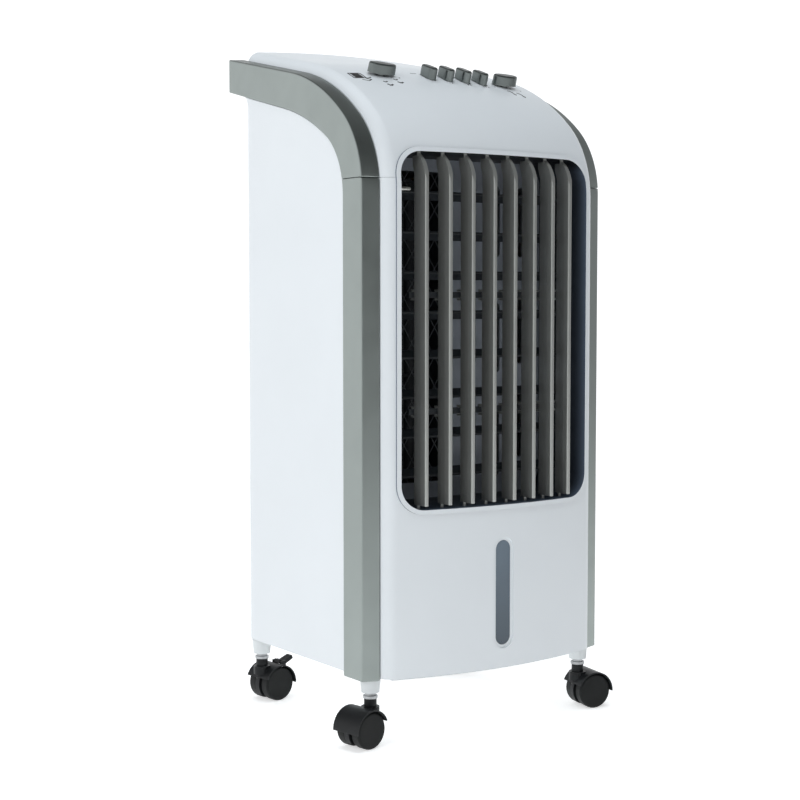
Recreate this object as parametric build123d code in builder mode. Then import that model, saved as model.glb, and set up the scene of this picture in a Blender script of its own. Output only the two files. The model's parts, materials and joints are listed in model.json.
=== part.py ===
"""Evaporative air cooler on four castors, modelled as a bench assembly of separate pieces.

Units are millimetres.  +Z is up, the louvred front faces -Y, and the origin is on the floor
under the middle of the object's box.
"""
import os
from math import asin, atan2, cos, degrees, radians, sin, sqrt, tan

from build123d import *

os.makedirs("parts", exist_ok=True)

# ---------------------------------------------------------------- driving dimensions
WALL = 2.5                  # moulded wall of every casing
GAP = 0.4                   # shut line between two casings
FLOOR_LINE = 57.5           # lower edge of the white cabinet
FRONT_LINE = 55.7           # lower edge of the white front shell
TRIM_LINE = 54.0            # lower edge of the grey trims
SEAM = 454.0                # height of the joint between lower and upper casings
SEAM_HALF = 0.12            # half of the gap there

SLOPE = 11.9                # rise of the top towards the back, in degrees
LOWER_TURN = 49.2           # share of the arch taken by its lower, tighter arc
ARCH_END = 15.0             # the arch runs into the sloping top at this Y
LOWER_RADIUS, UPPER_RADIUS = 88.0, 206.0

FRONT_FACE = -119.5         # front of the bowed face on the centre line
BOW_RADIUS = 400.0          # bow of the front face, seen from above
BOW_HALF = 98.0             # half width of the bow, where the rounded shoulder starts
SHOULDER_RADIUS = 13.9
SHOULDER_END = 70.0         # direction of the shoulder where it meets the trim, in degrees
TOP_AT_BACK = 578.5         # height of the top on the centre line at BACK
TOP_CROWN = 4.0             # drop of the top from the centre to the shoulder
SHOULDER_DROP = 0.95        # drop of the shoulder on top, against its depth in front
BACK = 100.0                # rear face of the cabinet
COVER_REAR = 112.0          # rear face of the top cover's lip
LIP_REAR = 112.0            # rear face of the cabinet's lip under the cover
COVER_SKIRT = 554.0         # lower edge of the top cover's rear face
LIP_HALF = 107.7            # half width of the lip, between the trims' rear ends
PANEL_HALF = 104.0          # the rear panel stands between the side panels' returns
TRIM_REAR = 121.0           # rear end of the upper trims

TRIM_INNER, TRIM_OUTER = 108.15, 122.5
TRIM_FRONT_INNER, TRIM_FRONT_OUTER = -98.4, -93.2
TRIM_TOP_INNER, TRIM_TOP_OUTER = 566.2, 565.0
TRIM_CORNER = 8.0           # rounding of the upper trims' rear end
CABINET_HALF = 121.4
CORNER = 15.0

OPENING_HALF = 95.1         # air outlet, inside the louvre frame
OPENING_LOW, OPENING_HIGH = 190.5, 475.5
OPENING_CORNER = 20.0
DUCT_WALL = 2.2
DUCT_REAR = -46.5
RIM_WIDTH, RIM_RISE = 3.8, 1.2

LOUVRES = 8
LOUVRE_PITCH = 21.0
LOUVRE_CHORD = 17.0
LOUVRE_THICK = 3.6          # at its thickest, a third of the way back
LOUVRE_REAR_THICK = 1.4
LOUVRE_LOW, LOUVRE_HIGH = 193.5, 472.5
LOUVRE_PROUD = 1.5          # the middle louvres stand this far in front of the face
PIVOT_BACK = 12.5           # pivot axis behind the louvre's front edge
LINK_BACK = 21.0            # link pin behind the louvre's front edge
PIVOT_RADIUS = 1.5
LINK_HEIGHTS = (268.0, 362.0)
DRIVEN_LOUVRE = 4

DECK_LOW, DECK_THICK = 168.0, 2.5
FAN_X, FAN_Y = -45.0, 4.0
FAN_RADIUS = 41.0
FAN_LOW, FAN_HIGH = 212.0, 458.0
FAN_BLADES = 24
SHAFT_RADIUS = 4.0

PAD_HALF, PAD_FRONT, PAD_DEPTH = 88.0, 62.0, 18.0
PAD_LOW, PAD_HIGH = 200.0, 505.0

TANK_HALF, TANK_FRONT, TANK_REAR = 96.0, -98.0, 100.0
TANK_LOW, TANK_HIGH = 60.5, 164.5

STEM_X = 109.2
STEM_FRONT, STEM_REAR = -85.3, 90.9
SOCKET_LOW = 43.0
WHEEL_RADIUS = 15.0
TRAIL = 10.5
CASTORS = {                 # name: (stem X, stem Y, trailing direction in degrees, has a brake)
    "front_left": (-STEM_X, STEM_FRONT, 190.5, False),
    "front_right": (STEM_X, STEM_FRONT, -10.5, False),
    "rear_left": (-STEM_X, STEM_REAR, 8.5, True),
    "rear_right": (STEM_X, STEM_REAR, 172.0, True),
}

CONTROL_Y = -29.0           # middle of the control row
CONTROL_TILT = 19.0         # lean of the controls towards the front
KEY_X = (-13.0, 5.0, 23.0, 41.0)
KNOB_X = (-61.0, 68.0)
KEY_WIDTH, KEY_LENGTH = 8.6, 18.0
KEY_RISE = 9.5              # the keys stand this far above the skin

FAR, ABOVE = 160.0, 700.0   # well outside and well above the object
FIT = 0.1                   # play of a pin or shaft in its hole, on the radius


def save(builder, name):
    """Label one finished piece and write it to its own file."""
    builder.part.label = name
    export_step(builder.part, f"parts/{name}.step")


# ---------------------------------------------------------------- the shared outer form
def face_y(x):
    """Y of the bowed front face at this X."""
    return FRONT_FACE + BOW_RADIUS - sqrt(BOW_RADIUS**2 - x**2)


def arch(x, front, top, rear, low):
    """Closed outline at X = x: upright front, two-arc arch, sloping top, flat back and bottom."""
    scale = (ARCH_END - front) / (ARCH_END - face_y(BOW_HALF))
    lower, upper = LOWER_RADIUS * scale, UPPER_RADIUS * scale
    middle = 90 - LOWER_TURN
    rise = lower * sin(radians(LOWER_TURN))
    rise += upper * (cos(radians(SLOPE)) - cos(radians(middle)))
    run = lower * (1 - cos(radians(LOWER_TURN)))
    run += upper * (sin(radians(middle)) - sin(radians(SLOPE)))
    arch_rear = front + run
    start = top - tan(radians(SLOPE)) * (BACK - arch_rear) - rise
    with BuildSketch(Plane.YZ.offset(x)) as outline:
        with BuildLine():
            upright = Line((front, low), (front, start))
            first = JernArc(upright @ 1, (0, 1), lower, -LOWER_TURN)
            second = JernArc(first @ 1, first % 1, upper, -(middle - SLOPE))
            rear_top = top + tan(radians(SLOPE)) * (rear - BACK)
            Line(second @ 1, (rear, rear_top))
            Polyline((rear, rear_top), (rear, low), (front, low))
        make_face()
    return outline.sketch


def station(turn, grow):
    """X, front and top of the skin where its plan direction is turn degrees off the front."""
    bow_end = degrees(asin(BOW_HALF / BOW_RADIUS))
    size, sign = abs(turn), (1 if turn >= 0 else -1)
    bow = radians(min(size, bow_end))
    x = BOW_RADIUS * sin(bow)
    front = FRONT_FACE + BOW_RADIUS * (1 - cos(bow))
    top = TOP_AT_BACK - TOP_CROWN * (x / BOW_HALF) ** 2
    if size > bow_end:
        x += SHOULDER_RADIUS * (sin(radians(size)) - sin(bow))
        depth = SHOULDER_RADIUS * (cos(bow) - cos(radians(size)))
        front += depth
        top -= depth * SHOULDER_DROP
    x += grow * sin(radians(size))
    front -= grow * cos(radians(size))
    top += grow * cos(radians(size)) / cos(radians(SLOPE))
    return sign * x, front, top


def skin(grow=0.0, rear=140.0, low=30.0):
    """Solid bounded by the front face, arch and top, grown outwards by grow."""
    bow_end = degrees(asin(BOW_HALF / BOW_RADIUS))
    step = (SHOULDER_END - bow_end) / 4
    shoulder = [bow_end + step * i for i in range(5)]
    middle = [-bow_end, -bow_end / 2, 0, bow_end / 2, bow_end]
    with BuildPart() as volume:
        for turns in (middle, shoulder, [-turn for turn in shoulder]):
            loft([arch(*station(turn, grow), rear, low) for turn in turns])
    return volume.part


def slab(x0, x1, y0, y1, z0, z1, mode=Mode.ADD):
    """Box between two corners, in the open block."""
    with Locations(((x0 + x1) / 2, (y0 + y1) / 2, (z0 + z1) / 2)):
        Box(x1 - x0, y1 - y0, z1 - z0, mode=mode)


def cut_layer(z0, z1):
    """Remove everything between two heights from the open block."""
    slab(-FAR, FAR, -FAR, FAR, z0, z1, mode=Mode.SUBTRACT)


def post(x, y, z0, z1, radius, mode=Mode.ADD):
    """Upright cylinder between two heights, in the open block."""
    with Locations((x, y, (z0 + z1) / 2)):
        Cylinder(radius, z1 - z0, mode=mode)


def outlet_prism(grow, y0, y1, mode=Mode.ADD):
    """Prism along Y through the air outlet, its outline grown by grow."""
    middle = (OPENING_LOW + OPENING_HIGH) / 2
    with BuildSketch(Plane.XZ.offset(-y0)) as outline:
        with Locations((0, middle)):
            height = OPENING_HIGH - OPENING_LOW + 2 * grow
            RectangleRounded(2 * (OPENING_HALF + grow), height, OPENING_CORNER + grow)
    extrude(outline.sketch, amount=-(y1 - y0), mode=mode)


OUTER = skin()
INNER = skin(-WALL, rear=COVER_REAR - WALL)
RIM_TOP = skin(RIM_RISE)
RIM_SEAT = skin(0.1)
FLANGE_DEPTH = 14.0


def flange_cut():
    """Remove everything deeper than the casing's own flanges."""
    outline = arch(-130, TRIM_FRONT_INNER + FLANGE_DEPTH, TRIM_TOP_INNER - FLANGE_DEPTH, 140.0, 20.0)
    extrude(outline, amount=260, mode=Mode.SUBTRACT)


# ---------------------------------------------------------------- control places
def top_point(x, y):
    """Height of the outer skin above the point (x, y), found on the two arcs or the slope."""
    turn = degrees(asin(x / BOW_RADIUS))
    _, front, top = station(turn, 0)
    scale = (ARCH_END - front) / (ARCH_END - face_y(BOW_HALF))
    upper = UPPER_RADIUS * scale
    middle = radians(90 - LOWER_TURN)
    first_end = front + LOWER_RADIUS * scale * (1 - cos(radians(LOWER_TURN)))
    arch_rear = first_end + upper * (sin(middle) - sin(radians(SLOPE)))
    if y >= arch_rear:
        return top - tan(radians(SLOPE)) * (BACK - y)
    lean = asin(sin(middle) - (y - first_end) / upper)
    end_height = top - tan(radians(SLOPE)) * (BACK - arch_rear)
    return end_height - upper * (cos(radians(SLOPE)) - cos(lean))


def control_plane(x, lift=0.0):
    """Plane on the skin at a control, its normal leaning to the front."""
    normal = Vector(0, -sin(radians(CONTROL_TILT)), cos(radians(CONTROL_TILT)))
    origin = Vector(x, CONTROL_Y, top_point(x, CONTROL_Y)) + normal * lift
    return Plane(origin=origin, x_dir=(1, 0, 0), z_dir=normal)


# ---------------------------------------------------------------- casings
WINDOW_LOW, WINDOW_HIGH, WINDOW_WIDTH = 74.0, 161.0, 15.0
WINDOW_RIM = 2.6


def window_prism(grow, y0, y1, mode=Mode.ADD):
    """Upright stadium prism along Y at the water-level window."""
    middle = (WINDOW_LOW + WINDOW_HIGH) / 2
    with BuildSketch(Plane.XZ.offset(-y0)) as outline:
        with Locations((0, middle)):
            SlotOverall(WINDOW_HIGH - WINDOW_LOW + 2 * grow, WINDOW_WIDTH + 2 * grow, rotation=90)
    extrude(outline.sketch, amount=-(y1 - y0), mode=mode)


with BuildPart() as front_shell:
    add(OUTER)
    add(INNER, mode=Mode.SUBTRACT)
    flange_cut()
    cut_layer(SEAM - SEAM_HALF, ABOVE)
    cut_layer(0, FRONT_LINE)
    outlet_prism(DUCT_WALL + 0.3, -150, -60, mode=Mode.SUBTRACT)
    window_prism(WINDOW_RIM, -150, FRONT_FACE + 1.2, mode=Mode.SUBTRACT)
    window_prism(0.0, -150, -60, mode=Mode.SUBTRACT)
save(front_shell, "front_shell")

with BuildPart() as top_cover:
    add(OUTER)
    add(INNER, mode=Mode.SUBTRACT)
    flange_cut()
    cut_layer(0, SEAM + SEAM_HALF)
    slab(-FAR, FAR, COVER_REAR, FAR, 0, ABOVE, mode=Mode.SUBTRACT)
    slab(-FAR, FAR, COVER_REAR - WALL - 1, FAR, 0, COVER_SKIRT, mode=Mode.SUBTRACT)
    outlet_prism(DUCT_WALL + 0.3, -150, -60, mode=Mode.SUBTRACT)
    for key_x in KEY_X:
        with BuildSketch(control_plane(key_x, 12)):
            SlotOverall(KEY_LENGTH + 0.9, KEY_WIDTH + 0.9, rotation=90)
        extrude(amount=-24, mode=Mode.SUBTRACT)
    for knob_x in KNOB_X:
        with BuildSketch(control_plane(knob_x, 12)):
            Circle(4.0)
        extrude(amount=-24, mode=Mode.SUBTRACT)
save(top_cover, "top_cover")

BAND_FRONT, BAND_LOWER, BAND_UPPER, BAND_TURN = -65.6, 58.2, 218.0, 58.2
BAND_START, BAND_SLOPE = 442.0, 13.4


def band_edge(x, shift, low, rear):
    """Outline at X = x of all that lies behind and below the trim, moved inwards by shift."""
    front, lower, upper = BAND_FRONT + shift, BAND_LOWER - shift, BAND_UPPER - shift
    with BuildSketch(Plane.YZ.offset(x)) as outline:
        with BuildLine():
            upright = Line((front, low), (front, BAND_START))
            first = JernArc(upright @ 1, (0, 1), lower, -BAND_TURN)
            second = JernArc(first @ 1, first % 1, upper, -(90 - BAND_TURN - BAND_SLOPE))
            end = second @ 1
            rear_top = end.Y + tan(radians(BAND_SLOPE)) * (rear - end.X)
            Polyline((end.X, end.Y), (rear, rear_top), (rear, low), (front, low))
        make_face()
    return outline.sketch


def trim(side, low, high):
    """Grey L-shaped trim on one side, between two heights."""
    with BuildPart() as piece:
        inner_x, outer_x = side * TRIM_INNER, side * TRIM_OUTER
        loft([
            arch(inner_x, TRIM_FRONT_INNER, TRIM_TOP_INNER, TRIM_REAR, TRIM_LINE),
            arch(outer_x, TRIM_FRONT_OUTER, TRIM_TOP_OUTER, TRIM_REAR, TRIM_LINE),
        ], ruled=True)
        beyond = band_edge(outer_x + side, 0.0, 20.0, TRIM_REAR + 10)
        extrude(beyond, amount=-side * 20, mode=Mode.SUBTRACT)
        loft([
            arch(inner_x - side, TRIM_FRONT_INNER + WALL, TRIM_TOP_INNER - WALL, TRIM_REAR - WALL, 20.0),
            arch(outer_x - side * WALL, TRIM_FRONT_OUTER + WALL, TRIM_TOP_OUTER - WALL,
                 TRIM_REAR - WALL, 20.0),
        ], ruled=True, mode=Mode.SUBTRACT)
        cut_layer(0, low)
        cut_layer(high, ABOVE + 20)
        corner_top = TRIM_TOP_INNER + tan(radians(SLOPE)) * (TRIM_REAR - BACK) + 0.3
        front_top = corner_top - tan(radians(SLOPE)) * (TRIM_REAR + 150)
        with BuildSketch(Plane.YZ.offset(-130)) as end_outline:
            with BuildLine():
                Polyline((-150, 0), (TRIM_REAR, 0), (TRIM_REAR, corner_top), (-150, front_top),
                         close=True)
            make_face()
            fillet(end_outline.vertices().sort_by(Axis.Z)[-1], TRIM_CORNER)
        extrude(amount=260, mode=Mode.INTERSECT)
    return piece


for side, side_name in ((-1, "left"), (1, "right")):
    save(trim(side, TRIM_LINE, SEAM - SEAM_HALF), f"trim_{side_name}_lower")
    save(trim(side, SEAM + SEAM_HALF, ABOVE), f"trim_{side_name}_upper")

FILTER_HALF, FILTER_LOW, FILTER_HIGH = 94.0, 188.0, 520.0
TANK_DOOR_HALF, TANK_DOOR_HIGH = 98.0, 166.5
GLAND_X, GLAND_Z, GLAND_RADIUS = 80.0, 178.4, 4.6

CABINET_RISE = 500.0         # the walls are made this tall, then cut to the trims' band
STEP_LOW, STEP_HIGH = 524.0, 537.3      # the rear face flares out to the lip between these heights
FLARE_STEPS = 5
BACK_INSIDE = BACK - 1.5    # the lip's solid starts inside the rear wall


def cabinet_outline(height, shrink, rear):
    """Plan of the cabinet, open at the front, with rounded rear corners."""
    with BuildSketch(Plane.XY.offset(height)) as outline:
        with Locations((0, (rear - shrink - FAR) / 2)):
            Rectangle(2 * (CABINET_HALF - shrink), rear - shrink + FAR)
        fillet(outline.vertices().group_by(Axis.Y)[-1], CORNER - shrink)
    return outline.sketch


def flare(share):
    """How far the rear face stands out at a share of the flare's height, along a quarter circle."""
    return (LIP_REAR - BACK) * (1 - sqrt(1 - share**2))


with BuildPart(mode=Mode.PRIVATE) as cabinet_form:
    extrude(cabinet_outline(FLOOR_LINE, 0.0, BACK), amount=CABINET_RISE)
    sections = []
    for step in range(FLARE_STEPS + 1):
        share = step / FLARE_STEPS
        height = STEP_LOW + share * (STEP_HIGH - STEP_LOW)
        sections.append(cabinet_outline(height, 0.0, BACK + flare(share)))
    loft(sections, ruled=True)
    extrude(cabinet_outline(STEP_HIGH - 0.01, 0.0, LIP_REAR), amount=WALL / 2)
    extrude(cabinet_outline(0.0, WALL, BACK), amount=ABOVE, mode=Mode.SUBTRACT)
    extrude(band_edge(-FAR, GAP, 20.0, 140.0), amount=2 * FAR, mode=Mode.INTERSECT)
    with BuildSketch(Plane.YZ.offset(-LIP_HALF)):
        Polygon(
            (BACK_INSIDE, STEP_HIGH - 2.8), (LIP_REAR, STEP_HIGH + 0.5), (LIP_REAR, COVER_SKIRT - GAP),
            (LIP_REAR - WALL, COVER_SKIRT - GAP), (LIP_REAR - WALL, STEP_HIGH + 3.2),
            (BACK_INSIDE, STEP_HIGH + 0.2), align=None,
        )
    extrude(amount=2 * LIP_HALF)
    slab(-FILTER_HALF, FILTER_HALF, 80, 140, FILTER_LOW, FILTER_HIGH, mode=Mode.SUBTRACT)
    slab(-TANK_DOOR_HALF, TANK_DOOR_HALF, 80, 140, 50, TANK_DOOR_HIGH, mode=Mode.SUBTRACT)

SCREW_X = 99.0
SCREW_HEIGHTS = (206.0, 348.0, 490.0)
SCREW_RADIUS = 1.8
TONGUE_INNER, TONGUE_OUTER, TONGUE_FRONT = 95.6, 106.8, 94.9    # the screwed tongue of a side panel


def screw_holes(radius):
    """Remove the screws' holes through the rear edge of the open casing."""
    with BuildSketch(Plane.XZ.offset(-(BACK - 12))) as outline:
        with Locations(*[(sign * SCREW_X, height) for sign in (-1, 1) for height in SCREW_HEIGHTS]):
            Circle(radius)
    extrude(outline.sketch, amount=-20, mode=Mode.SUBTRACT)


for side, side_name in ((-1, "left"), (1, "right")):
    with BuildPart() as side_panel:
        add(cabinet_form.part)
        left_x, right_x = sorted((side * PANEL_HALF, side * FAR))
        slab(left_x, right_x, -FAR, FAR, 0, ABOVE, mode=Mode.INTERSECT)
        tongue_low, tongue_high = SCREW_HEIGHTS[0] - 8, SCREW_HEIGHTS[-1] + 8
        for tongue_start, gap in ((TONGUE_INNER, 0.2), (PANEL_HALF + 0.4, -0.1)):
            left_x, right_x = sorted((side * tongue_start, side * TONGUE_OUTER))
            slab(left_x, right_x, TONGUE_FRONT, BACK - WALL - gap, tongue_low, tongue_high)
        screw_holes(SCREW_RADIUS + 0.1)
    save(side_panel, f"side_panel_{side_name}")

with BuildPart() as rear_panel:
    add(cabinet_form.part)
    slab(GAP / 2 - PANEL_HALF, PANEL_HALF - GAP / 2, -FAR, FAR, 0, ABOVE, mode=Mode.INTERSECT)
    screw_holes(SCREW_RADIUS + 0.2)
    with BuildSketch(Plane.XZ.offset(-140)):
        with Locations((GLAND_X, GLAND_Z)):
            Circle(GLAND_RADIUS + 2.0)
    extrude(amount=60, mode=Mode.SUBTRACT)
save(rear_panel, "rear_panel")

PLATE_LOW, PLATE_HIGH, PLATE_HALF = 53.8, 55.5, 112.0

with BuildPart() as base_plate:
    with BuildSketch(Plane.XY.offset(PLATE_LOW)):
        with Locations((0, 1)):
            RectangleRounded(2 * PLATE_HALF, 184, 10)
        with BuildLine():
            bow = ThreePointArc((-99, face_y(99) + 5), (0, FRONT_FACE + 4), (99, face_y(99) + 5))
            Polyline(bow @ 1, (99, -70), (-99, -70), bow @ 0)
        make_face()
        for stem_x, stem_y, _, _ in CASTORS.values():
            with Locations((stem_x, stem_y)):
                Circle(8.6)
    extrude(amount=PLATE_HIGH - PLATE_LOW)
    for stem_x, stem_y, _, _ in CASTORS.values():
        with BuildSketch(Plane.XY.offset(PLATE_LOW + 0.5)):
            with Locations((stem_x, stem_y)):
                Circle(8.4)
        extrude(amount=-(PLATE_LOW + 0.5 - SOCKET_LOW), taper=5)
        post(stem_x, stem_y, SOCKET_LOW - 1, PLATE_HIGH + 1, 3.05, mode=Mode.SUBTRACT)
    for rail_x in (-100.0, 100.0):
        slab(rail_x - 1.5, rail_x + 1.5, -80, 82, PLATE_HIGH - 0.1, 66.0)
    for foot_y in (-60.0, 0.0, 60.0):
        slab(-90, 90, foot_y - 1.2, foot_y + 1.2, PLATE_HIGH - 0.1, TANK_LOW - 0.3)
save(base_plate, "base_plate")

with BuildPart() as level_window:
    window_prism(-0.2, FRONT_FACE + 1.4, FRONT_FACE + 5.5)
    window_prism(3.0, FRONT_FACE + WALL + 0.4, FRONT_FACE + 5.5)
    with BuildSketch(Plane.XY.offset(60)):
        with BuildLine():
            edge = ThreePointArc(
                (-20, face_y(20) + WALL + 0.1), (0, FRONT_FACE + WALL + 0.1), (20, face_y(20) + WALL + 0.1)
            )
            Polyline(edge @ 1, (20, -150), (-20, -150), edge @ 0)
        make_face()
        with Locations((0, FRONT_FACE + 1)):
            Rectangle(WINDOW_WIDTH - 0.4, 40, mode=Mode.SUBTRACT)
    extrude(amount=120, mode=Mode.SUBTRACT)
save(level_window, "level_window")

# ---------------------------------------------------------------- air outlet
LINK_RADIUS = 1.1
LINK_BAR_HEIGHT, LINK_BAR_DEPTH = 5.0, 3.8
TAB_LOW, TAB_HIGH = 2.9, 4.4    # the louvre's two tabs hold the link pin above and below the bar


def louvre_x(number):
    """X of a louvre, counted from 1 at the left."""
    return (number - (LOUVRES + 1) / 2) * LOUVRE_PITCH


def louvre_front(number):
    """Y of a louvre's front edge."""
    return face_y(louvre_x(number)) - LOUVRE_PROUD


with BuildPart() as louvre_frame:
    outlet_prism(RIM_WIDTH, -150, -70)
    outlet_prism(DUCT_WALL, -150, DUCT_REAR)
    add(RIM_TOP, mode=Mode.INTERSECT)
    outlet_prism(0.0, -160, 0, mode=Mode.SUBTRACT)
    with BuildPart(mode=Mode.PRIVATE) as behind_rim:
        outlet_prism(RIM_WIDTH + 20, -160, DUCT_REAR + 10)
        outlet_prism(DUCT_WALL, -160, 0, mode=Mode.SUBTRACT)
        add(RIM_SEAT, mode=Mode.INTERSECT)
    add(behind_rim.part, mode=Mode.SUBTRACT)
    for number in range(1, LOUVRES + 1):
        axis_y = louvre_front(number) + PIVOT_BACK
        for wall_z in (OPENING_LOW - DUCT_WALL / 2, OPENING_HIGH + DUCT_WALL / 2):
            post(louvre_x(number), axis_y, wall_z - 2, wall_z + 2, PIVOT_RADIUS + 0.15, mode=Mode.SUBTRACT)
save(louvre_frame, "louvre_frame")

LOUVRE_TOP_RADIUS, LOUVRE_TOP_TURN = 30.0, 52.0     # the front edge curves back at its top
LOUVRE_TOP_START = LOUVRE_HIGH - 22
LOUVRE_THICKEST = 6.0       # distance of the thickest place behind the front edge


def louvre_side(x, front):
    """Side view of a louvre, its front edge upright and curved back at the top."""
    turn = radians(LOUVRE_TOP_TURN)
    curve_end = (
        front + LOUVRE_TOP_RADIUS * (1 - cos(turn)), LOUVRE_TOP_START + LOUVRE_TOP_RADIUS * sin(turn)
    )
    rear = front + LOUVRE_CHORD
    with BuildSketch(Plane.YZ.offset(x - LOUVRE_THICK / 2)) as outline:
        with BuildLine():
            Line((front, LOUVRE_LOW), (front, LOUVRE_TOP_START))
            JernArc((front, LOUVRE_TOP_START), (0, 1), LOUVRE_TOP_RADIUS, -LOUVRE_TOP_TURN)
            Polyline(
                curve_end, (curve_end[0], LOUVRE_HIGH), (rear + 3, LOUVRE_HIGH), (rear + 3, LOUVRE_HIGH - 5),
                (rear, LOUVRE_HIGH - 14), (rear, LOUVRE_LOW), (front, LOUVRE_LOW),
            )
        make_face()
    return outline.sketch


def louvre_section(x, front):
    """Plan section of a louvre: round nose, thickest a third of the way back, thin rear."""
    half, rear_half, rear = LOUVRE_THICK / 2, LOUVRE_REAR_THICK / 2, front + LOUVRE_CHORD + 4
    with BuildSketch(Plane.XY.offset(LOUVRE_LOW - 5)) as outline:
        with BuildLine():
            for side in (-1, 1):
                Spline(
                    (x, front), (x + side * half, front + LOUVRE_THICKEST), (x + side * rear_half, rear),
                    tangents=((side, 0), (-0.12 * side, 1)),
                )
            Line((x - rear_half, rear), (x + rear_half, rear))
        make_face()
    return outline.sketch


for number in range(1, LOUVRES + 1):
    x, front = louvre_x(number), louvre_front(number)
    with BuildPart() as louvre:
        extrude(louvre_side(x, front), amount=LOUVRE_THICK)
        extrude(louvre_section(x, front), amount=LOUVRE_HIGH - LOUVRE_LOW + 10, mode=Mode.INTERSECT)
        post(x, front + PIVOT_BACK, OPENING_LOW - 3.5, LOUVRE_LOW + 1, PIVOT_RADIUS)
        post(x, front + PIVOT_BACK, LOUVRE_HIGH - 1, OPENING_HIGH + 1.9, PIVOT_RADIUS)
        for height in LINK_HEIGHTS:
            post(x, front + LINK_BACK, height - TAB_HIGH, height + TAB_HIGH, LINK_RADIUS)
            for tab_z in (height - TAB_HIGH, height + TAB_LOW):
                slab(x - 0.9, x + 0.9, front + LOUVRE_CHORD - 1.5, front + LINK_BACK + 1.4,
                     tab_z, tab_z + TAB_HIGH - TAB_LOW)
    save(louvre, f"louvre_{number}")

with BuildPart() as link_bars:
    bar_end = louvre_x(LOUVRES) + 4
    middle_y = FRONT_FACE - LOUVRE_PROUD + LINK_BACK
    end_y = face_y(bar_end) - LOUVRE_PROUD + LINK_BACK
    for height in LINK_HEIGHTS:
        with BuildSketch(Plane.XY.offset(height - LINK_BAR_HEIGHT / 2)):
            with BuildLine():
                outer, inner = [
                    ThreePointArc((-bar_end, end_y + half), (0, middle_y + half), (bar_end, end_y + half))
                    for half in (-LINK_BAR_DEPTH / 2, LINK_BAR_DEPTH / 2)
                ]
                Line(outer @ 0, inner @ 0)
                Line(outer @ 1, inner @ 1)
            make_face()
            for number in range(1, LOUVRES + 1):
                with Locations((louvre_x(number), louvre_front(number) + LINK_BACK)):
                    Circle(LINK_RADIUS + 0.1, mode=Mode.SUBTRACT)
        extrude(amount=LINK_BAR_HEIGHT)
save(link_bars, "link_bars")

GUARD_PITCH, GUARD_TOP, GUARD_BARS = 32.5, 443.0, 8
GUARD_FRONT, GUARD_DEPTH = -78.0, 11.0
GUARD_THICK, GUARD_TILT = 3.0, 34.0

with BuildPart() as guard_grille:
    for bar in range(GUARD_BARS):
        height = GUARD_TOP - GUARD_PITCH * bar
        tilt = GUARD_TILT if bar < GUARD_BARS / 2 else -GUARD_TILT
        with BuildSketch(Plane.YZ.offset(-OPENING_HALF + 1.0)):
            with Locations((GUARD_FRONT + GUARD_DEPTH / 2, height)):
                SlotOverall(GUARD_DEPTH, GUARD_THICK, rotation=-tilt)
        extrude(amount=2 * (OPENING_HALF - 1.0))
    for rail_x in (-OPENING_HALF + 2.0, OPENING_HALF - 2.0):
        slab(rail_x - 1.2, rail_x + 1.2, GUARD_FRONT - 1, GUARD_FRONT + GUARD_DEPTH + 1, 212, 456)
save(guard_grille, "guard_grille")

with BuildPart() as swing_motor:
    motor_x = louvre_x(DRIVEN_LOUVRE)
    shaft_y = louvre_front(DRIVEN_LOUVRE) + PIVOT_BACK
    post(motor_x, shaft_y + 9.5, DECK_LOW + 3.5, 184.5, 12.0)
    post(motor_x, shaft_y, 184.0, 186.2, 3.6)
    with BuildSketch(Plane.XY.offset(182.5)):
        with Locations((motor_x, shaft_y + 9.5)):
            SlotOverall(42, 7)
            with Locations((-17.5, 0), (17.5, 0)):
                Circle(1.6, mode=Mode.SUBTRACT)
    extrude(amount=1.2)
save(swing_motor, "swing_motor")

# ---------------------------------------------------------------- fan
CASING_FRONT, CASING_THICK = DUCT_REAR + 0.3, 2.2
WINDOW_LEFT, WINDOW_RIGHT = -88.0, -7.0
OUTLET_LOW, OUTLET_HIGH = 204.0, 465.0
SCROLL_LOW, SCROLL_HIGH = 204.0, 465.0
MOTOR_LIFT = 10.0           # posts on the scroll's top plate carry the motor

with BuildPart() as outlet_casing:
    slab(-99, 99, CASING_FRONT, CASING_FRONT + CASING_THICK, 188, 478)
    slab(WINDOW_LEFT, WINDOW_RIGHT, CASING_FRONT - 1, CASING_FRONT + 5, OUTLET_LOW, OUTLET_HIGH,
         mode=Mode.SUBTRACT)
    with BuildSketch(Plane.XZ.offset(-(CASING_FRONT - 1))):
        for column_x, heights in ((22.0, (250, 332, 425)), (48.0, (235, 325, 425)),
                                  (74.0, (250, 332, 425))):
            for slot_z in heights:
                with Locations((column_x, slot_z)):
                    SlotOverall(60, 7, rotation=90)
    extrude(amount=-6, mode=Mode.SUBTRACT)
save(outlet_casing, "outlet_casing")

MESH_STRAND = 0.7
MESH_PITCH, MESH_RISE = 15.6, 24.7      # width and height of one diamond

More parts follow.
